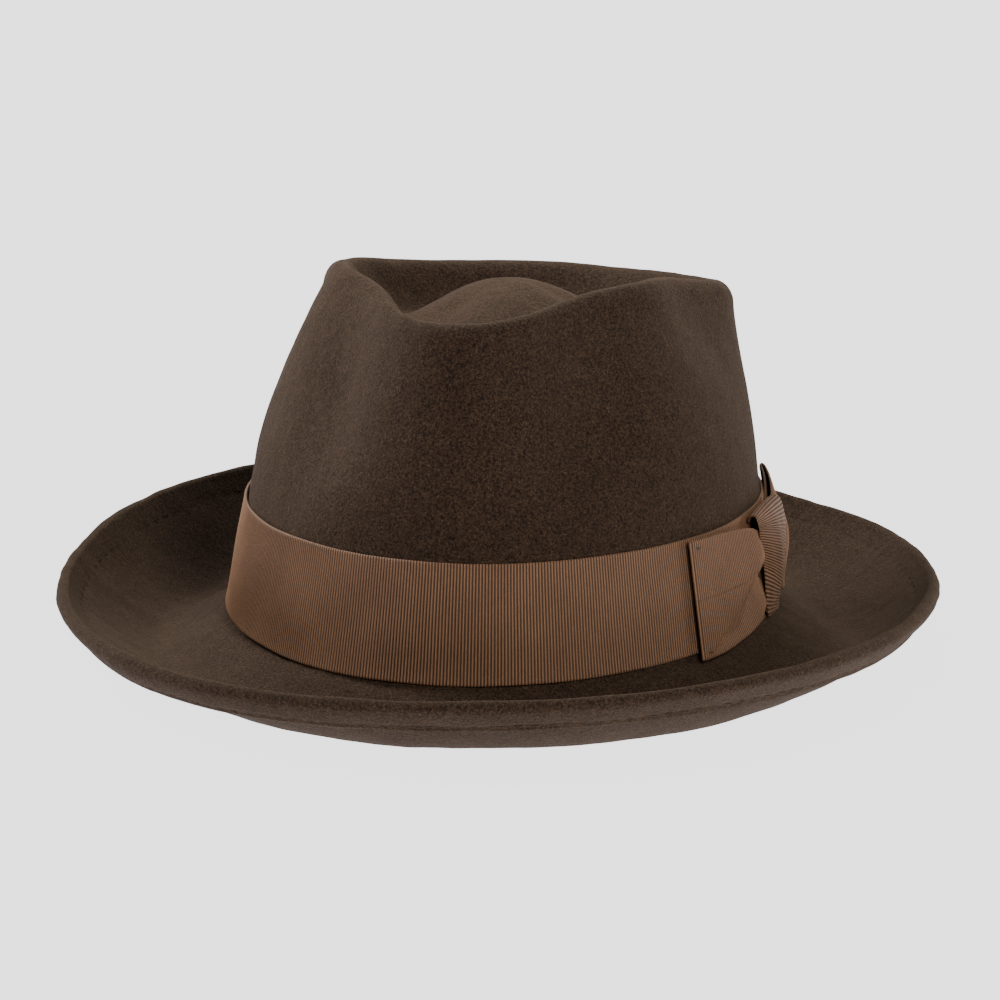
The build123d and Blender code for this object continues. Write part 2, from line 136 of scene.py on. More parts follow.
def hermite(p0, d0, p1, d1, u):
    """A cubic from p0 to p1 with end slopes d0 and d1."""
    a = 2 * u**3 - 3 * u**2 + 1
    b = u**3 - 2 * u**2 + u
    return p0 * a + d0 * b + p1 * (1 - a) + d1 * (u**3 - u**2)


def straight_wall(t, z):
    """The egg-shaped oval at the crown's foot, leaning inward as it rises."""
    shrink = z * np.tan(np.radians(WALL_LEAN + END_LEAN * np.sin(t)**2))
    x = (BASE_X - shrink) * np.cos(t) * (1 + EGG * np.sin(t))
    return column(x, (BASE_Y - shrink) * np.sin(t), z)


def ridge(t):
    """The crown's highest edge, round the dent."""
    a = from_front(t)
    return polar(series(RIDGE_RADII, a), t, series(RIDGE_HEIGHTS, a))


def shoulder(t):
    """Where the wall ends and rounds over to the ridge."""
    top = ridge(t)
    radius = plan_length(top) + series(SHOULDER_WIDTH, from_front(t))
    return polar(radius, t, top[..., 2] - SHOULDER_DROP)


def valley(t):
    """The lowest line of the dent, round the bubble."""
    a = from_front(t)
    top = ridge(t)
    radius = plan_length(top) - series(VALLEY_WIDTHS, a)
    return polar(radius, t, top[..., 2] - series(VALLEY_DROPS, a))


def degrees_from_front(t):
    return np.degrees(np.abs((from_front(t) + np.pi) % (2 * np.pi) - np.pi))


def wall(t, z):
    """The crown wall at a height above the break."""
    high = shoulder(t)
    rise = np.maximum(0.0, (z - TAPER_START) / (high[..., 2] - TAPER_START))
    taper = (high - straight_wall(t, high[..., 2])) * (rise**TAPER_POWER)[..., None]
    share = np.clip((z - BULGE_START) / (high[..., 2] - BULGE_START), 0, 1)
    swell = series(BULGES, from_front(t)) * np.sin(np.pi * share)**BULGE_POWER
    dent = PINCH_DEPTH * np.exp(-((z - PINCH_HEIGHT) / PINCH_TALL)**2)
    dent = dent * np.exp(-((degrees_from_front(t) - PINCH_ANGLE) / PINCH_SPREAD)**2)
    dent = dent * (1 - rise**8)
    return straight_wall(t, z) + taper + polar(swell - dent, t, 0)


def lip(t):
    """The brim's outer edge: a squarish oval that is higher behind and lower by the bow."""
    c, s = np.cos(t), np.sin(t)
    power = 2 / LIP_SQUARENESS
    x = (BASE_X + BRIM_SIDE) * np.abs(c)**power * np.sign(c) * (1 + LIP_EGG * s) + LIP_SHIFT
    y = (BASE_Y + BRIM_END) * np.abs(s)**power * np.sign(s)
    z = LIP_Z + LIP_BACK_RISE * s - LIP_BOW_DROP * c - LIP_TWIST * np.sin(2 * t)
    return column(x, y, z)


def upper(t, part, u):
    """The felt's upper face, from the lip (CURL, 0) inward to the bubble's top."""
    t = np.asarray(t, float)
    base, edge = straight_wall(t, 0.0), lip(t)
    out = unit((edge - base) * (1, 1, 0))
    width = plan_length(edge - base)[..., None]
    land_out = base + out * GUTTER_OUT - UP * GUTTER_FALL
    land_in = base + out * GUTTER_IN - UP * GUTTER_FALL
    if part == CURL:
        start = base + out * (width - EDGE_RADIUS) + UP * (edge[..., 2:] - EDGE_RADIUS)
        down = -out * math.sin(math.radians(LIP_LEAN)) - UP * math.cos(math.radians(LIP_LEAN))
        return hermite(start, down * LIP_PULL, land_out, out * -GUTTER_PULL, u)
    if part == LAND:
        return land_out + (land_in - land_out) * u
    foot = base + out * FILLET_REACH - UP * FILLET_FALL
    slope = UP * FILLET_SLOPE - out
    if part == BRIM:
        return hermite(land_in, out * -BRIM_PULL, foot, slope * BRIM_PULL, u)
    low = wall(t, FILLET_HEIGHT)
    if part == FILLET:
        rise = (wall(t, FILLET_HEIGHT + 1) - low) * FILLET_PULL
        return hermite(foot, slope * FILLET_PULL, low, rise, u)
    high = shoulder(t)
    if part == WALL:
        return wall(t, FILLET_HEIGHT + (high[..., 2] - FILLET_HEIGHT) * u)
    top = ridge(t)
    inward = column(-np.cos(t), -np.sin(t), 0)
    if part == SHOULDER:
        climb = (high - wall(t, high[..., 2] - STEP)) * (SHOULDER_DROP * ROUND_PULL / STEP)
        across = plan_length(high - top)[..., None]
        return hermite(high, climb, top, inward * across * ROUND_PULL, u)
    dip = valley(t)
    if part == SLOPE:
        across = plan_length(top - dip)[..., None]
        return hermite(top, inward * across * 1.1, dip, inward * across * 1.3, u)
    crest = column(0, BUBBLE_Y, BUBBLE_Z) + polar(BUBBLE_TIP, t, 0)
    run = (crest - dip) * (1, 1, 0)
    length = plan_length(run)[..., None]
    return hermite(dip, inward * length * 0.9, crest, inward * length * 1.3, u)


def normal(t, part, u):
    """The way out of the felt's upper face."""
    low, high = max(0.0, u - STEP), min(1.0, u + STEP)
    along = upper(t + STEP, part, u) - upper(t - STEP, part, u)
    across = upper(t, part, high) - upper(t, part, low)
    return unit(np.cross(along, across))


def offset(t, part, u, depth):
    return upper(t, part, u) - normal(t, part, u) * depth


def beside_wall(t, z, out):
    """A point at a height on the crown wall, moved out along the wall's normal."""
    side = wall(t + STEP, z) - wall(t - STEP, z)
    rise = wall(t, z + STEP) - wall(t, z - STEP)
    return wall(t, z) + unit(np.cross(side, rise)) * np.asarray(out)[..., None]


# ---- mesh helpers -------------------------------------------------------------------
def waves(points, size, count=48, seed=1):
    """Smooth noise, about -1 to 1, with features of a size in millimetres."""
    draw = np.random.default_rng(seed)
    ways = unit(draw.normal(size=(count, 3))) * (2 * np.pi / size)
    ways *= draw.uniform(0.6, 1.4, (count, 1))
    phase = draw.uniform(0, 2 * np.pi, count)
    flat = points.reshape(-1, 3)
    total = np.zeros(len(flat))
    for way, start in zip(ways, phase):
        total += np.sin(flat @ way + start)
    return (total / math.sqrt(count)).reshape(points.shape[:-1])


def make_object(name, points, faces, material, replaces, uv=None):
    """A closed piece from points in millimetres about the break, riding on the hat."""
    mesh = bpy.data.meshes.new(name)
    placed = (np.asarray(points).reshape(-1, 3) + (HAT_SHIFT_X, 0, BREAK_Z)) * MM
    mesh.from_pydata(placed.tolist(), [], faces)
    mesh.materials.append(material)
    if uv is not None:
        layer = mesh.uv_layers.new(name="UVMap")
        corner_points = np.empty(len(mesh.loops), np.int32)
        mesh.loops.foreach_get("vertex_index", corner_points)
        layer.data.foreach_set("uv", np.asarray(uv).reshape(-1, 2)[corner_points].ravel())
    mesh.polygons.foreach_set("use_smooth", [True] * len(mesh.polygons))
    turned = bmesh.new()
    turned.from_mesh(mesh)
    bmesh.ops.recalc_face_normals(turned, faces=turned.faces)
    turned.to_mesh(mesh)
    turned.free()
    piece = bpy.data.objects.new(name, mesh)
    bpy.context.scene.collection.objects.link(piece)
    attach(piece, BODY)
    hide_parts(*replaces)
    return piece


def grid_faces(rows, columns, wrap_rows=False, wrap_columns=False):
    """Four-sided faces between the points of a grid, closed round where it wraps."""
    i = np.arange(rows if wrap_rows else rows - 1)[:, None]
    j = np.arange(columns if wrap_columns else columns - 1)[None, :]
    a = i * columns + j
    b = i * columns + (j + 1) % columns
    c = ((i + 1) % rows) * columns + (j + 1) % columns
    d = ((i + 1) % rows) * columns + j
    return np.stack([a, b, c, d], axis=-1).reshape(-1, 4)


def close_caps(faces, rings, columns):
    """Adds one many-sided face over each end ring: (row, reversed)."""
    out = faces.tolist()
    for row, back in rings:
        loop = [row * columns + j for j in range(columns)]
        out.append(loop[::-1] if back else loop)
    return out


# ---- materials ------------------------------------------------------------------------
def shader(name, colour, roughness, specular=0.3):
    material = bpy.data.materials.new(name)
    material.use_nodes = True
    tree = material.node_tree
    principled = tree.nodes["Principled BSDF"]
    principled.inputs["Base Color"].default_value = (*colour, 1)
    principled.inputs["Roughness"].default_value = roughness
    principled.inputs["Specular IOR Level"].default_value = specular
    return material, tree, principled


def link(tree, a, b):
    tree.links.new(a, b)


def noise(tree, vector, scale, detail=3, roughness=0.55):
    node = tree.nodes.new("ShaderNodeTexNoise")
    node.inputs["Scale"].default_value = scale
    node.inputs["Detail"].default_value = detail
    node.inputs["Roughness"].default_value = roughness
    link(tree, vector, node.inputs["Vector"])
    return node.outputs["Fac"]


def ramp(tree, value, stops):
    node = tree.nodes.new("ShaderNodeValToRGB")
    elements = node.color_ramp.elements
    while len(elements) < len(stops):
        elements.new(0.5)
    for element, (place, colour) in zip(elements, stops):
        element.position = place
        element.color = (*colour, 1)
    link(tree, value, node.inputs["Fac"])
    return node.outputs["Color"]


def mix(tree, mode, a, b):
    """Two colours put together in full, by a blend mode."""
    node = tree.nodes.new("ShaderNodeMix")
    node.data_type = "RGBA"
    node.blend_type = mode
    node.inputs["Factor"].default_value = 1
    link(tree, a, node.inputs["A"])
    link(tree, b, node.inputs["B"])
    return node.outputs["Result"]


def math_node(tree, operation, a, b=0.0, c=0.0):
    node = tree.nodes.new("ShaderNodeMath")
    node.operation = operation
    for i, value in enumerate((a, b, c)):
        if isinstance(value, (int, float)):
            node.inputs[i].default_value = value
        else:
            link(tree, value, node.inputs[i])
    return node.outputs["Value"]


def bump(tree, principled, height, distance, strength=1.0):
    node = tree.nodes.new("ShaderNodeBump")
    node.inputs["Strength"].default_value = strength
    node.inputs["Distance"].default_value = distance
    link(tree, height, node.inputs["Height"])
    link(tree, node.outputs["Normal"], principled.inputs["Normal"])


def object_place(tree):
    """The place on the piece, in metres."""
    return tree.nodes.new("ShaderNodeTexCoord").outputs["Object"]


def felt_material():
    """Dark brown wool, mottled at four scales, with pale fibre flecks and a faint nap."""
    material, tree, principled = shader("wool felt", (0.017, 0.010, 0.0065), 0.95, 0.08)
    place = object_place(tree)
    broad = noise(tree, place, 22, 4, 0.6)
    cloudy = noise(tree, place, 260, 3, 0.6)
    fibres = noise(tree, place, 1150, 3, 0.75)
    specks = noise(tree, place, 2300, 2, 0.6)
    base = ramp(tree, broad, [(0.3, (0.0150, 0.0088, 0.0056)), (0.7, (0.0185, 0.0112, 0.0073))])
    cloud = ramp(tree, cloudy, [(0.3, (0.86, 0.86, 0.86)), (0.7, (1.13, 1.13, 1.12))])
    hair = ramp(tree, fibres, [(0.36, (0.34, 0.34, 0.36)), (0.64, (1.85, 1.8, 1.7))])
    fleck = ramp(tree, specks, [(0.58, (0, 0, 0)), (0.72, (0.026, 0.019, 0.013))])
    colour = mix(tree, "MULTIPLY", base, cloud)
    colour = mix(tree, "MULTIPLY", colour, hair)
    colour = mix(tree, "ADD", colour, fleck)
    link(tree, colour, principled.inputs["Base Color"])
    principled.inputs["Sheen Weight"].default_value = 0.06
    principled.inputs["Sheen Roughness"].default_value = 0.5
    principled.inputs["Sheen Tint"].default_value = (0.9, 0.66, 0.45, 1)
    height = math_node(tree, "MULTIPLY_ADD", fibres, 0.7, math_node(tree, "MULTIPLY", cloudy, 0.5))
    bump(tree, principled, height, 0.0007, 0.9)
    return material


def grosgrain_material():
    """Ribbed ribbon, with painted shade in the rib valleys and painted highlight on the rib crests: U
    runs along the ribbon in metres, V across it.
    """
    material, tree, principled = shader("grosgrain", (0.105, 0.056, 0.032), 0.62, 0.24)
    uv = tree.nodes.new("ShaderNodeTexCoord").outputs["UV"]
    split = tree.nodes.new("ShaderNodeSeparateXYZ")
    link(tree, uv, split.inputs["Vector"])
    along, across = split.outputs["X"], split.outputs["Y"]
    turn = 2 * math.pi
    rib = math_node(tree, "SINE", math_node(tree, "MULTIPLY", along, turn / (RIB_PITCH * MM)))
    float_wave = math_node(tree, "SINE", math_node(tree, "MULTIPLY", across, turn / (PICK_PITCH * MM)))
    tooth = math_node(tree, "MULTIPLY", rib, float_wave)
    rib01 = math_node(tree, "MULTIPLY_ADD", rib, 0.5, 0.5)
    weave = math_node(tree, "MULTIPLY_ADD", tooth, 0.5, 0.5)
    place = object_place(tree)
    uneven = noise(tree, place, 60, 4, 0.6)
    yarn = noise(tree, place, 2600, 2, 0.7)
    body = ramp(tree, uneven, [(0.3, (0.086, 0.044, 0.023)), (0.7, (0.105, 0.055, 0.029))])
    # painted shade darkens the rib valleys and painted highlight brightens the rib crests, in step
    # with the ribs' geometry
    rib_painted_shade_and_highlight = ramp(tree, rib01, [(0.0, (0.2, 0.17, 0.15)), (0.4, (0.75, 0.73, 0.72)),
                                   (1.0, (1.75, 1.72, 1.66))])
    weave_shade = ramp(tree, weave, [(0.2, (0.82, 0.82, 0.82)), (0.8, (1.16, 1.15, 1.12))])
    yarn_shade = ramp(tree, yarn, [(0.3, (0.72, 0.72, 0.72)), (0.7, (1.28, 1.26, 1.22))])
    colour = mix(tree, "MULTIPLY", body, rib_painted_shade_and_highlight)
    colour = mix(tree, "MULTIPLY", colour, weave_shade)
    colour = mix(tree, "MULTIPLY", colour, yarn_shade)
    link(tree, colour, principled.inputs["Base Color"])
    principled.inputs["Sheen Weight"].default_value = 0.06
    principled.inputs["Sheen Roughness"].default_value = 0.35
    principled.inputs["Sheen Tint"].default_value = (0.9, 0.72, 0.55, 1)
    height = math_node(tree, "MULTIPLY_ADD", tooth, 0.35, rib)
    bump(tree, principled, height, 0.00009, 0.7)
    return material


def grained_material(name, dark, light, roughness, grain, depth, specular=0.35):
    """A plain surface, mottled between two colours, with a grain of a scale and depth."""
    material, tree, principled = shader(name, light, roughness, specular)
    place = object_place(tree)
    broad = noise(tree, place, 45, 4, 0.6)
    fine = noise(tree, place, grain, 3, 0.65)
    base = ramp(tree, broad, [(0.3, dark), (0.7, light)])
    shade = ramp(tree, fine, [(0.3, (0.8, 0.8, 0.8)), (0.7, (1.15, 1.15, 1.15))])
    link(tree, mix(tree, "MULTIPLY", base, shade), principled.inputs["Base Color"])
    bump(tree, principled, fine, depth, 0.6)
    return material


def woven_material(name, dark, light, roughness, pitch, sheen=0.0):
    """Plain cloth: U and V of the UV map are both in metres, pitch is the yarn's."""
    material, tree, principled = shader(name, light, roughness, 0.35)
    uv = tree.nodes.new("ShaderNodeTexCoord").outputs["UV"]
    split = tree.nodes.new("ShaderNodeSeparateXYZ")
    link(tree, uv, split.inputs["Vector"])
    turn = 2 * math.pi / (pitch * MM)
    warp = math_node(tree, "SINE", math_node(tree, "MULTIPLY", split.outputs["X"], turn))
    weft = math_node(tree, "SINE", math_node(tree, "MULTIPLY", split.outputs["Y"], turn))
    crossing = math_node(tree, "MULTIPLY", warp, weft)
    weave = math_node(tree, "MULTIPLY_ADD", crossing, 0.5, 0.5)
    broad = noise(tree, object_place(tree), 60, 3, 0.6)
    base = ramp(tree, broad, [(0.3, dark), (0.7, light)])
    shade = ramp(tree, weave, [(0.1, (0.82, 0.82, 0.82)), (0.9, (1.12, 1.12, 1.12))])
    link(tree, mix(tree, "MULTIPLY", base, shade), principled.inputs["Base Color"])
    principled.inputs["Sheen Weight"].default_value = sheen
    principled.inputs["Sheen Roughness"].default_value = 0.3
    bump(tree, principled, weave, 0.00004, 0.5)
    return material


felt = felt_material()
grosgrain = grosgrain_material()
ribbon_thread = grained_material("ribbon thread", (0.04, 0.022, 0.013), (0.06, 0.033, 0.019),
                                 0.7, 3000, 0.0001, 0.2)
thread = grained_material("sewing thread", (0.011, 0.007, 0.005), (0.018, 0.012, 0.009),
                          0.8, 3000, 0.0001, 0.1)
leather = grained_material("sweatband leather", (0.10, 0.045, 0.02), (0.17, 0.08, 0.038),
                           0.42, 900, 0.0002, 0.5)
reed_cord = grained_material("reed", (0.45, 0.40, 0.31), (0.55, 0.49, 0.39), 0.45, 600, 0.00005)
cotton_tape = woven_material("cotton tape", (0.022, 0.015, 0.011), (0.035, 0.025, 0.018), 0.8, 0.5)
satin = woven_material("satin", (0.060, 0.036, 0.022), (0.085, 0.052, 0.032), 0.32, 0.3, 0.4)
label_cloth = woven_material("label", (0.60, 0.56, 0.48), (0.68, 0.64, 0.55), 0.7, 0.4)

# ---- felt crown and brim --------------------------------------------------------------
AROUND = 720
ANGLES = np.arange(AROUND) * 2 * np.pi / AROUND
WELT_STITCHES, STITCH_DENT = 160, 0.42
DOUBLE = 2 * FELT + WELT_GAP
FLOOR_GAP = 0.02


def edge_round(angle):
    """The rolled lip: half a turn from the upper face (0) to the folded edge (pi)."""
    tip = unit(upper(ANGLES, CURL, 0) - upper(ANGLES, CURL, STEP))
    out = normal(ANGLES, CURL, 0)
    centre = offset(ANGLES, CURL, 0, EDGE_RADIUS)
    return centre + (out * math.cos(angle) + tip * math.sin(angle)) * EDGE_RADIUS


def stitch_pull(u):
    """How far the sewn line draws the felt in at a place down the curl."""
    line = STITCH_DENT * math.exp(-((u - WELT_STITCH) / 0.03)**2)
    return line * (0.62 + 0.38 * np.cos(WELT_STITCHES * ANGLES))[:, None]


def make_felt():
    """One closed shell: the folded edge, the lip, the upper face, then the under face back."""
    counts = {CURL: 30, LAND: 4, BRIM: 18, FILLET: 8, WALL: 64, SHOULDER: 14, SLOPE: 24,
              BUBBLE: 34}
    rows = []
    for u in np.linspace(WELT_END, 0, 18)[:-1]:
        raw = 0.3 * math.exp(-((u - WELT_END) / 0.018)**2)
        depth = DOUBLE + raw - stitch_pull(u)
        rows.append(upper(ANGLES, CURL, u) - normal(ANGLES, CURL, u) * depth)
    rows += [edge_round(a) for a in np.linspace(np.pi, 0, 12)[:-1]]
    for part, count in counts.items():
        for i in range(count):
            u = i / count
            depth = stitch_pull(u) if part == CURL else 0
            rows.append(upper(ANGLES, part, u) - normal(ANGLES, part, u) * depth)
    rows.append(upper(ANGLES, BUBBLE, 1))
    top_rows = len(rows)
    for part in reversed(list(counts)[1:]):
        count = counts[part] // 2
        rows += [offset(ANGLES, part, 1 - i / count, FELT) for i in range(count)]
    rows += [offset(ANGLES, CURL, u, FELT) for u in np.linspace(1, WELT_END, 12)]
    points = np.array(rows)
    quads = grid_faces(len(points), AROUND, wrap_rows=True, wrap_columns=True)
    quads = quads.reshape(len(points), AROUND, 4)
    keep = [i for i in range(len(points)) if i != top_rows - 1]
    ends = [(top_rows - 1, False), (top_rows, True)]
    faces = close_caps(quads[keep].reshape(-1, 4), ends, AROUND)
    outward = unit(np.cross(np.roll(points, -1, 1) - np.roll(points, 1, 1),
                            np.roll(points, -1, 0) - np.roll(points, 1, 0)))
    swell = 0.3 * waves(points, 46, seed=3) + 0.08 * waves(points, 13, seed=4)
    points = points + outward * swell[..., None]
    points[..., 2] = np.maximum(points[..., 2], FLOOR_GAP - BREAK_Z)
    return make_object("felt_crown_and_brim", points, faces, felt, ["felt_body"])


make_felt()


# ---- stitches --------------------------------------------------------------------------
STITCH_RINGS, STITCH_SIDES = 7, 8


def stitches(name, lines, count, share, radius, material, replaces, start=0.0, end=2 * np.pi):
    """Separate running stitches. Each line is (at, out): the place and the way out of the
    surface at an array of angles. Stitches fill a share of the line and dip in at their ends."""
    middles = start + (np.arange(count) + 0.5) * (end - start) / count
    along = np.linspace(-0.5, 0.5, STITCH_RINGS) * share * (end - start) / count
    t = middles[:, None] + along[None, :]
    lift = radius * np.array([-1.6, 0.1, 0.55, 0.65, 0.55, 0.1, -1.6])
    thick = radius * np.array([0.5, 0.95, 1, 1, 1, 0.95, 0.5])
    turn = (np.arange(STITCH_SIDES) * 2 * np.pi / STITCH_SIDES)[:, None]
    grid = grid_faces(STITCH_RINGS, STITCH_SIDES, wrap_columns=True)
    caps = [(0, False), (STITCH_RINGS - 1, True)]
    tube_faces = close_caps(grid, caps, STITCH_SIDES)
    points, faces = [], []
    for at, out in lines:
        face = out(t)
        centre = at(t) + face * lift[:, None]
        ahead = unit(np.gradient(centre, axis=1))
        side = unit(np.cross(ahead, face))
        spoke = face[:, :, None] * np.cos(turn) + side[:, :, None] * np.sin(turn)
        for tube in centre[:, :, None] + spoke * thick[:, None, None]:
            first = len(points) * STITCH_RINGS * STITCH_SIDES
            faces += [[first + corner for corner in corners] for corners in tube_faces]
            points.append(tube.reshape(-1, 3))
    return make_object(name, np.concatenate(points), faces, material, replaces)


def welt_line(side):
    """The seam on the upper face (side 1) and on the folded edge's outer face (-1)."""
    depth = STITCH_DENT if side > 0 else DOUBLE - STITCH_DENT

    def at(t):
        return offset(t, CURL, WELT_STITCH, depth)

    def out(t):
        return normal(t, CURL, WELT_STITCH) * side
    return at, out


def sweat_line(z, out):
    """A seam round the leather's inner face at a height."""
    def at(t):
        return beside_wall(t, z, out)

    def inward(t):
        return unit(beside_wall(t, z, out - 1) - beside_wall(t, z, out))
    return at, inward


stitches("welt_stitches", [welt_line(1), welt_line(-1)], WELT_STITCHES, 0.6, 0.2, thread,
         ["welt_stitching"])
stitches("sweatband_stitches", [sweat_line(SWEAT_SEAM_Z, SWEAT_OUT - SWEAT_THICK)],
         SWEAT_STITCHES, 0.74, 0.24, thread, ["sweatband_stitching"])


# ---- ribbon -----------------------------------------------------------------------------
# places across a ribbon, close together at its edges, and more of them for the folded bow
ACROSS = np.array([0, 0.006, 0.018, 0.035, 0.06, 0.12, 0.2, 0.3, 0.4, 0.5, 0.6, 0.7, 0.8, 0.88,
                   0.94, 0.965, 0.982, 0.994, 1])
BOW_ACROSS = np.unique(np.concatenate([ACROSS, np.linspace(0.06, 0.94, 37)]))
RIB_STEPS = 4


def through(steps, per=16):
    """A smooth run (Catmull-Rom) through rows of numbers."""
    rows = np.array(steps, float)
    before = np.vstack([2 * rows[0] - rows[1], rows, 2 * rows[-1] - rows[-2]])
    u = (np.arange(per) / per)[:, None]
    spans = []
    for i in range(len(rows) - 1):
        a, b, c, d = before[i:i + 4]
        spans.append(hermite(b, (c - a) / 2, c, (d - b) / 2, u))
    return np.vstack(spans + [rows[-1:]])


def ribbon(name, low, high, replaces, across, thick, relief, closed=False):
    """A ribbed ribbon between two long edges; relief(along, across) moves both faces out.

    A closed ribbon's first and last points are the same. Returns the piece, length and width."""
    middle = (low + high) / 2
    arc = np.concatenate([[0], np.cumsum(np.linalg.norm(np.diff(middle, axis=0), axis=1))])
    ribs = round(arc[-1] / RIB_PITCH)
    columns = ribs * RIB_STEPS + (0 if closed else 1)
    place = np.arange(columns) / (ribs * RIB_STEPS)
    bottom, top = (np.stack([np.interp(place * arc[-1], arc, edge[:, k]) for k in range(3)], axis=1)
                   for edge in (low, high))
    middle = (bottom + top) / 2
    ahead = np.roll(middle, -1, 0) - np.roll(middle, 1, 0)
    if not closed:
        ahead = np.gradient(middle, axis=0)
    face = unit(np.cross(ahead, top - bottom))
    wave = np.sin(place * ribs * 2 * np.pi)[:, None] * RIB_DEPTH
    width = np.mean(np.linalg.norm(top - bottom, axis=1))
    edge = np.minimum(across, 1 - across) * width
    rounded = np.sqrt(1 - (1 - np.clip(edge / 0.5, 0, 1))**2)
    selvedge = 0.1 * np.exp(-((edge - 0.8) / 0.5)**2)
    half = thick / 2 * (0.35 + 0.65 * rounded) + selvedge
    fill = (np.clip(edge / 0.7, 0, 1))[None, :]
    push = relief(place[:, None], across[None, :])
    flat = bottom[:, None] + (top - bottom)[:, None] * across[None, :, None]
    outer = flat + face[:, None] * (push + half[None, :] + wave * fill)[..., None]
    inner = flat + face[:, None] * (push - half[None, :] + wave * fill)[..., None]
    points = np.concatenate([outer, inner[:, ::-1]], axis=1)
    rows = points.shape[1]
    faces = grid_faces(columns, rows, wrap_rows=closed, wrap_columns=True)
    ends = [] if closed else [(0, False), (columns - 1, True)]
    faces = close_caps(faces, ends, rows)
    uv = np.zeros((columns, rows, 2))
    uv[..., 0] = (place * ribs * RIB_PITCH * MM)[:, None]
    uv[..., 1] = np.concatenate([across, across[::-1]])[None, :] * width * MM
    piece = make_object(name, points, faces, grosgrain, replaces, uv)
    return piece, arc[-1] * MM, width * MM


def make_band():
    """The ribbon round the crown, with a level top and a bottom edge that follows the brim."""
    t = np.linspace(0, 2 * np.pi, 2000)
    low_z = RIBBON_LOW + RIBBON_WAVE * np.cos(2 * t)
    out = RIBBON_GAP + RIBBON_THICK / 2
    low = beside_wall(t, low_z, out)
    high = beside_wall(t, np.full(t.shape, RIBBON_TOP), out)
    low += UP * 0.16 * waves(low, 34, seed=11)[:, None]
    high += UP * 0.14 * waves(high, 40, seed=12)[:, None]

    def relief(along, across):
        angle = along * 2 * np.pi
        puff = 0.12 * (np.sin(9 * angle + 4 * across) + np.sin(14 * angle - 5 * across + 1))
        return puff * np.sin(np.pi * across)

    piece, length, width = ribbon("ribbon_band_grosgrain", low, high, ["ribbon_band"], ACROSS,
                                  RIBBON_THICK, relief, closed=True)


# ---- bow ---------------------------------------------------------------------------------
# A wing's steps are (degrees behind the bow's side, out of the wall at the low edge and at the
# high edge, height of the low edge and of the high edge).
FRONT_WING = (
    (-3, 3.1, 4.2, 9, 27), (-7, 4.2, 5.4, 7, 32), (-10, 4.9, 5.4, 5, 34.3),
    (-14, 4.7, 4.9, 3.2, 35.7), (-19, 4.4, 4.5, 1.8, 36.6), (-24, 4.4, 4.45, 0.8, 37),
    (-29.8, 4.6, 4.6, 0.4, 37.2), (-30.5, 4.5, 4.5, 0.4, 37.2), (-30.8, 4.1, 4.1, 0.4, 37.2),
    (-30.5, 3.7, 3.7, 0.4, 37.2), (-29.8, 3.6, 3.6, 0.4, 37.2), (-24, 3.0, 3.0, 0.8, 37),
    (-18, 2.5, 2.5, 2, 36.4), (-12, 2.1, 2.1, 4, 34.8), (-3, 1.9, 1.9, 9, 27))
REAR_WING = (
    (1, 2.9, 3.4, 12, 27), (4, 2.7, 3.6, 11, 30), (8, 2.6, 3.9, 8.5, 33),
    (11.5, 2.6, 3.9, 6, 36.6), (15, 2.7, 3.7, 4.6, 39.2), (18.5, 2.8, 3.4, 3.7, 40.6),
    (22, 2.95, 3.2, 3, 41.2), (24.6, 3.0, 3.1, 2.8, 41.4), (25.4, 3.0, 3.0, 2.8, 41.4),
    (25.9, 2.6, 2.6, 2.8, 41.4), (25.4, 2.15, 2.1, 2.8, 41.4), (24.6, 2.1, 2.0, 2.8, 41.4),
    (20, 1.95, 1.95, 3.4, 40.6), (14, 1.9, 1.9, 5, 37.6), (8, 1.85, 1.85, 8.5, 32.5),
    (1, 1.8, 1.8, 12, 27))
# The knot's steps are (height, out, degrees to the front edge, degrees to the rear edge).
KNOT_PATH = (
    (35.2, 2.5, -7, 8), (36.8, 3.3, -7.5, 8.2), (37.9, 5.2, -8, 8.6), (37, 7.4, -8.6, 8.8),
    (33.2, 9.3, -9, 8.4), (28, 9.7, -8.2, 7.2), (22, 9.0, -7, 5.4), (15, 7.2, -5.8, 4),
    (9.5, 5.0, -5, 3), (5.2, 3.5, -4.6, 2.6), (4, 2.9, -4.4, 2.4), (6.5, 2.2, -4.4, 2.4))


def wing(name, steps, replaces, relief):
    """A folded loop of ribbon, from the knot out to its free end and back."""
    run = through(steps)
    t = np.radians(run[:, 0])
    low = beside_wall(t, run[:, 3], run[:, 1])
    high = beside_wall(t, run[:, 4], run[:, 2])
    if steps[0][0] > steps[len(steps) // 2][0]:
        low, high = low[::-1], high[::-1]
    piece, length, _ = ribbon(name, low, high, replaces, BOW_ACROSS, BOW_THICK, relief)


def front_fold(along, across):
    """The diagonal fold of the front wing's face, from its lower free corner to the knot."""
    inward = np.clip((along - 0.52) / 0.44, 0, 1)
    crease = 0.03 + 0.66 * inward
    below = np.clip((crease - across) / 0.08, 0, 1)
    below = below * below * (3 - 2 * below)
    rolled = np.clip(1 - across / np.maximum(crease * 0.8, 0.01), 0, 1)
    by_knot = np.clip((1 - along) / 0.14, 0, 1)
    depth = FOLD_DEPTH * np.clip(inward * 2.2, 0, 1) * (0.72 + 0.28 * by_knot)
    puff = FOLD_PUFF * inward * by_knot * np.exp(-((across - crease - 0.1) / 0.2)**2)
    face = np.clip((along - 0.5) / 0.04, 0, 1)
    return face * (puff - depth * below * (1 - 0.8 * rolled))


def rear_puff(along, across):
    """The rear wing's face swells out beside the knot and leans back to the crown above it."""
    face = np.clip((0.5 - along) / 0.06, 0, 1)
    beside = np.exp(-((along - 0.2) / 0.13)**2)
    return REAR_PUFF * face * beside * np.sin(np.pi * across**1.35)


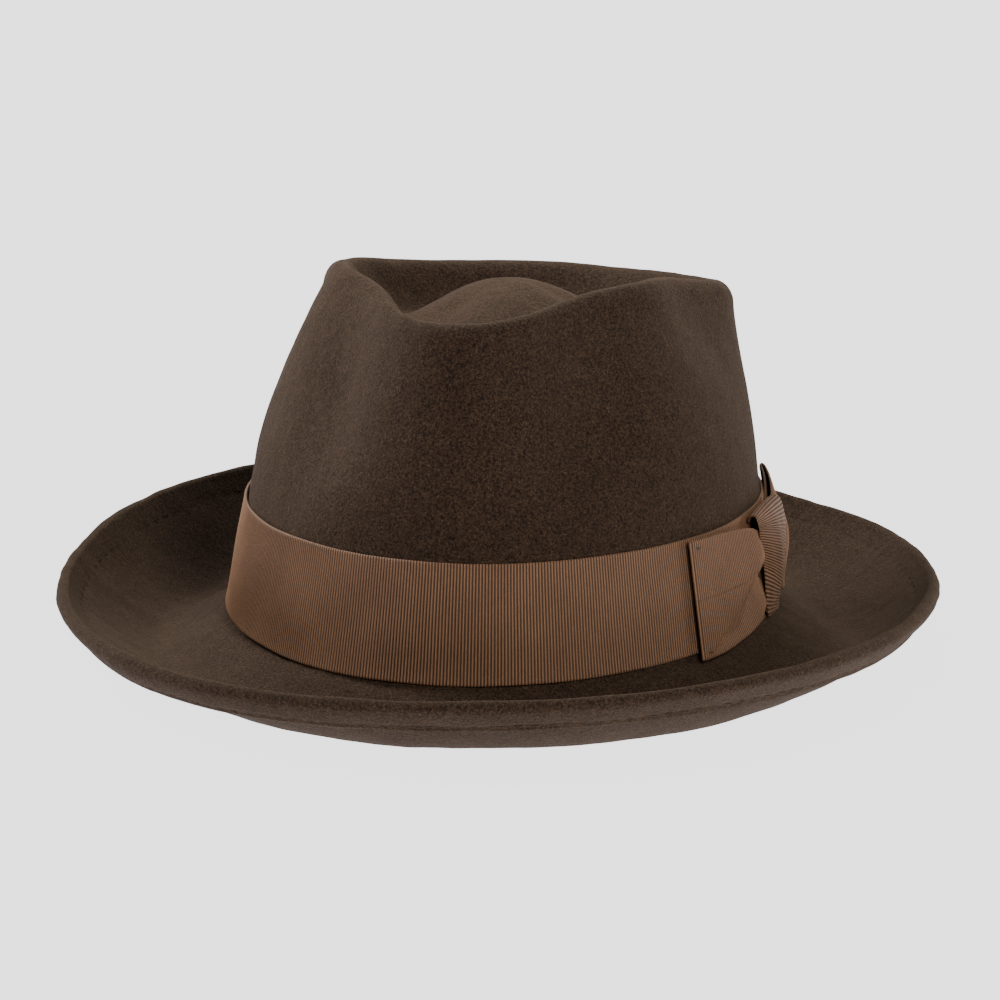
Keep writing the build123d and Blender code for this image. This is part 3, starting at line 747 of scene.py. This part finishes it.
def make_knot():
    """The knot's face curves back to the wings at both of its edges, more at the front."""
    run = through(KNOT_PATH)
    z, out, ahead, behind = run.T
    front = beside_wall(np.radians(ahead), z, out)
    rear = beside_wall(np.radians(behind), z, out)
    level_top = np.clip((37.5 - z) / 9, 0, 1)
    slant = (KNOT_SLANT * np.clip((out - 3) / 4, 0, 1) * level_top)[:, None]
    front, rear = front + UP * slant, rear - UP * slant

    def relief(along, across):
        wrapped = np.clip(np.sin(np.pi * along), 0, 1)**1.5
        edge = np.abs(2 * across - 1)
        fall = np.where(across < 0.5, KNOT_FRONT_FALL, KNOT_REAR_FALL) * edge**2.2
        folds = 0.32 * np.sin(15 * across + 1.5 * np.sin(5 * along)) * (1 - edge)
        return wrapped * (folds - fall)

    piece, length, _ = ribbon("bow_knot_grosgrain", front, rear, ["bow_knot"], BOW_ACROSS,
                              BOW_THICK, relief)


def tack_line(z):
    """The line of a hand stitch across the front wing's corner at a height."""
    def at(t):
        return beside_wall(t, np.full(t.shape, z), TACK_OUT)

    def out(t):
        return unit(beside_wall(t, np.full(t.shape, z), 1.0) - wall(t, z))
    return at, out


def make_tacks():
    middle = math.radians(TACK_DEGREES)
    for end, z in (("top", TACK_TOP_Z), ("bottom", TACK_BOTTOM_Z)):
        stitches(f"bow_tack_{end}_thread", [tack_line(z)], 1, 1.0, 0.32, ribbon_thread,
                 [f"bow_tack_{end}"], middle - TACK_REACH, middle + TACK_REACH)


make_band()
wing("bow_front_wing_grosgrain", FRONT_WING, ["bow_front_wing"], front_fold)
wing("bow_rear_wing_grosgrain", REAR_WING, ["bow_rear_wing"], rear_puff)
make_knot()
make_tacks()


# ---- inside: leather, reed, tapes, lining and label -------------------------------------
INSIDE = np.arange(480) * 2 * np.pi / 480


def hoop(name, section, material, replaces, shift=0.0):
    """A closed hoop beside the wall: section is a loop of (height, out) places, and shift
    moves them out by an amount for each angle and place."""
    z, out = np.array(section).T
    out = out + shift + np.zeros((len(INSIDE), len(z)))
    points = np.stack([beside_wall(INSIDE, z[k], out[:, k]) for k in range(len(z))], axis=1)
    faces = grid_faces(len(INSIDE), len(z), wrap_rows=True, wrap_columns=True).tolist()
    uv = np.zeros((len(INSIDE), len(z), 2))
    uv[..., 0] = (INSIDE * BASE_Y * MM)[:, None]
    uv[..., 1] = z * MM
    return make_object(name, points, faces, material, replaces, uv)


def rounded_section(low, high, outer, inner, steps=14):
    """A thin upright section with rounded ends, up the outer side and down the inner one."""
    middle, half = (outer + inner) / 2, abs(outer - inner) / 2
    turn = np.linspace(0, np.pi, 6)[1:-1]
    side = np.linspace(low + half, high - half, steps)
    loop = [(z, outer) for z in side]
    loop += [(high - half + half * math.sin(a), middle + half * math.cos(a)) for a in turn]
    loop += [(z, inner) for z in side[::-1]]
    loop += [(low + half - half * math.sin(a), middle - half * math.cos(a)) for a in turn]
    return loop


def make_sweatband():
    """Leather with a bead over the reed, tooled lines at both edges and a butt seam behind."""
    inner = SWEAT_OUT - SWEAT_THICK
    loop = rounded_section(SWEAT_LOW, SWEAT_HIGH, SWEAT_OUT, inner, 26)
    on_face = [out < SWEAT_OUT - 0.7 for z, out in loop]
    shaped = []
    for (z, out), shows in zip(loop, on_face):
        bead = 0.55 * math.exp(-((z + 0.9) / 1.0)**2) + 0.2 * math.exp(-((z - 32.6) / 0.8)**2)
        groove = 0.3 * math.exp(-((z - 2.0) / 0.5)**2) + 0.18 * math.exp(-((z - 31) / 0.35)**2)
        shaped.append((z, out - bead + groove if shows else out))
    seam = np.exp(-((INSIDE - np.pi / 2) / 0.006)**2)
    dent = 0.45 * seam[:, None] * np.array(on_face, float)[None, :]
    hoop("sweatband_leather", shaped, leather, ["sweatband"], dent)


GATHER = np.sin(LINING_GATHERS * INSIDE + 1.4 * np.sin(5 * INSIDE))


def make_lining():
    """The satin side, gathered towards the top."""
    outer, inner = LINING_OUT, LINING_OUT - LINING_THICK
    loop = rounded_section(LINING_LOW, LINING_HIGH, outer, inner, 24)
    heights = np.array([z for z, out in loop])
    climb = np.clip((heights - 20) / (LINING_HIGH - 20), 0, 1)**1.5
    soft = np.sin(11 * INSIDE + 2)[:, None]
    folds = -(0.75 + 0.55 * GATHER[:, None] + 0.2 * soft) * climb[None, :] * 0.9
    piece = hoop("lining_side_satin", loop, satin, ["lining_side"], folds)


def make_lining_tip():
    """The domed oval panel at the top of the lining, puckered where it is sewn."""
    shares = np.array([1, 0.985, 0.965, 0.945, 0.9, 0.82, 0.72, 0.6, 0.46, 0.32, 0.18, 0.05])
    edge = beside_wall(INSIDE, LINING_HIGH, LINING_OUT - LINING_THICK - 0.9) * (1, 1, 0)
    faces_up, faces_down = [], []
    for share in shares:
        rise = 4.0 * math.cos(share * math.pi / 2)**2
        pucker = 0.55 * GATHER * max(0.0, (share - 0.6) / 0.4)**2
        seam = 0.35 * math.exp(-((share - 0.965) / 0.012)**2)
        z = LINING_HIGH - 1.5 + rise + pucker + seam
        faces_up.append(edge * share + UP * z[:, None])
        faces_down.append(edge * share + UP * (z - LINING_THICK)[:, None])
    points = np.array(faces_up[::-1] + faces_down)
    grid = grid_faces(len(points), len(INSIDE), wrap_columns=True)
    faces = close_caps(grid, [(0, False), (len(points) - 1, True)], len(INSIDE))
    uv = points[..., :2] * MM
    piece = make_object("lining_tip_satin", points, faces, satin, ["lining_tip"], uv)


PLATE_POINTS = 25


def plate(name, middle, width, low, high, out, thick, material, replaces):
    """A small cloth rectangle lying on the leather, with rounded edges."""
    n = PLATE_POINTS
    across = np.linspace(-1, 1, n)
    up = np.linspace(0, 1, n)
    t = middle + across[:, None] * (width / 2 / BASE_Y) * np.ones((1, n))
    z = low + (high - low) * up[None, :] * np.ones((n, 1))
    near = np.minimum((1 - np.abs(across))[:, None] * width / 2,
                      np.minimum(up, 1 - up)[None, :] * (high - low))
    rounded = np.clip(near / 0.6, 0, 1)
    rise = thick * (0.35 + 0.65 * np.sqrt(1 - (1 - rounded)**2)) + 0.04 * np.sin(z * 3)
    top = beside_wall(t, z, out - rise)
    under = beside_wall(t, z, np.full(t.shape, float(out)))
    points = np.concatenate([top.reshape(-1, 3), under.reshape(-1, 3)])
    face = grid_faces(n, n)
    faces = face.tolist() + (face[:, ::-1] + n * n).tolist()
    rim = list(range(n)) + [n * k + n - 1 for k in range(1, n)]
    rim += [n * n - 1 - k for k in range(1, n)] + [n * k for k in range(n - 2, 0, -1)]
    for a, b in zip(rim, rim[1:] + rim[:1]):
        faces.append([a, b, b + n * n, a + n * n])
    flat = np.stack([(t - middle) * BASE_Y, z], axis=-1).reshape(-1, 2) * MM
    return make_object(name, points, faces, material, replaces, np.concatenate([flat, flat]))


def make_reed():
    turn = np.arange(14) * 2 * np.pi / 14
    ring = [(REED_Z + REED_RADIUS * math.sin(a), REED_OUT + REED_RADIUS * math.cos(a)) for a in turn]
    hoop("reed_cord", ring, reed_cord, ["sweatband_reed"])
    tape = rounded_section(TAPE_LOW, TAPE_HIGH, SWEAT_OUT + 0.35, SWEAT_OUT + 0.1, 8)
    hoop("reed_tape_cotton", tape, cotton_tape, ["reed_tape"])


def make_patches():
    """The tape over the leather's butt seam at the back, and the blank label."""
    leather_face = SWEAT_OUT - SWEAT_THICK - 0.1
    plate("sweatband_seam_tape_cotton", np.pi / 2, SEAM_TAPE_WIDTH, SEAM_TAPE_LOW, SEAM_TAPE_HIGH,
          leather_face, SEAM_TAPE_THICK, cotton_tape, ["sweatband_seam_tape"])
    label = plate("size_label_blank", math.radians(LABEL_DEGREES), LABEL_WIDTH, LABEL_LOW,
                  LABEL_HIGH, leather_face, LABEL_THICK, label_cloth, ["size_label"])


make_sweatband()
make_reed()
make_patches()
make_lining()
make_lining_tip()

# ---- stage, lights and camera ------------------------------------------------------------
AZIMUTH, ELEVATION, ROLL = 12.9, 14.3, 0.55
DISTANCE, LENS = 2.28, 257.7
AIM_UP, AIM_RIGHT = 0.0337, -0.0008
FLOOR_HALF, FLOOR_GLOW, WORLD_LIGHT = 5.0, 3.25, 0.2
# each softbox: (name, place, height aimed at, size, watts, colour)
SOFTBOXES = (
    ("back softbox", (-0.2, 1.0, 1.45), 0.08, 0.8, 18, (1, 0.98, 0.95)),
    ("left softbox", (-1.25, 0.3, 1.15), 0.08, 0.6, 50, (1, 0.97, 0.93)),
    ("right softbox", (1.75, 0.2, 0.3), 0.07, 0.7, 15, (1, 0.97, 0.93)),
    ("front softbox", (0.9, -1.6, 1.0), 0.03, 0.5, 41, (1, 0.96, 0.9)))


def make_stage():
    """A pale floor that glows a little, so that it stays light and nearly without shadow."""
    mesh = bpy.data.meshes.new("floor")
    corners = [(x * FLOOR_HALF, y * FLOOR_HALF, 0) for x, y in ((-1, -1), (1, -1), (1, 1), (-1, 1))]
    mesh.from_pydata(corners, [], [(0, 1, 2, 3)])
    floor = bpy.data.objects.new("floor", mesh)
    material, _, principled = shader("pale floor", (0.06, 0.059, 0.061), 0.95, 0.0)
    principled.inputs["Emission Color"].default_value = (0.745, 0.728, 0.757, 1)
    principled.inputs["Emission Strength"].default_value = FLOOR_GLOW
    mesh.materials.append(material)
    bpy.context.scene.collection.objects.link(floor)


def place_lamp(light, place, target):
    lamp = bpy.data.objects.new(light.name, light)
    lamp.location = place
    aim = Vector(target) - Vector(place)
    lamp.rotation_euler = aim.to_track_quat("-Z", "Y").to_euler()
    bpy.context.scene.collection.objects.link(lamp)


def make_light():
    world = bpy.data.worlds.new("studio")
    world.use_nodes = True
    background = world.node_tree.nodes["Background"]
    background.inputs["Color"].default_value = (0.98, 0.97, 1.0, 1)
    background.inputs["Strength"].default_value = WORLD_LIGHT
    bpy.context.scene.world = world
    for name, place, height, size, watts, colour in SOFTBOXES:
        light = bpy.data.lights.new(name, "AREA")
        light.size = size
        light.energy = watts
        light.color = colour
        place_lamp(light, place, (0, 0, height))


def make_crown_light():
    """A narrow lamp over the hat that lights the top of the crown and not the brim."""
    light = bpy.data.lights.new("crown spot", "SPOT")
    light.energy = 80
    light.color = (1, 0.97, 0.93)
    light.spot_size = math.radians(9.5)
    light.spot_blend = 0.7
    light.shadow_soft_size = 0.06
    place_lamp(light, (-0.4, 0.3, 1.25), (0, 0.005, 0.115))


def make_camera():
    """A long lens, ahead of the hat and to its wearer's left, looking a little down."""
    az, el = math.radians(AZIMUTH), math.radians(ELEVATION)
    back = Vector((math.sin(az) * math.cos(el), -math.cos(az) * math.cos(el), math.sin(el)))
    right = Vector((math.cos(az), math.sin(az), 0))
    origin = Vector((HAT_SHIFT_X * MM, 0, BREAK_Z * MM))
    eye = origin + back * DISTANCE
    aim = origin + back.cross(right) * AIM_UP + right * AIM_RIGHT
    back = (eye - aim).normalized()
    right = Vector((0, 0, 1)).cross(back).normalized()
    up = back.cross(right)
    roll = math.radians(ROLL)
    turn_right = right * math.cos(roll) + up * math.sin(roll)
    turn_up = up * math.cos(roll) - right * math.sin(roll)
    camera = bpy.data.cameras.new("camera")
    camera.sensor_width = 36
    camera.lens = LENS
    camera.clip_end = 20
    stand = bpy.data.objects.new("camera", camera)
    axes = Matrix((turn_right, turn_up, back)).transposed().to_4x4()
    stand.matrix_world = Matrix.Translation(eye) @ axes
    bpy.context.scene.collection.objects.link(stand)
    bpy.context.scene.camera = stand


make_stage()
make_light()
make_crown_light()
make_camera()
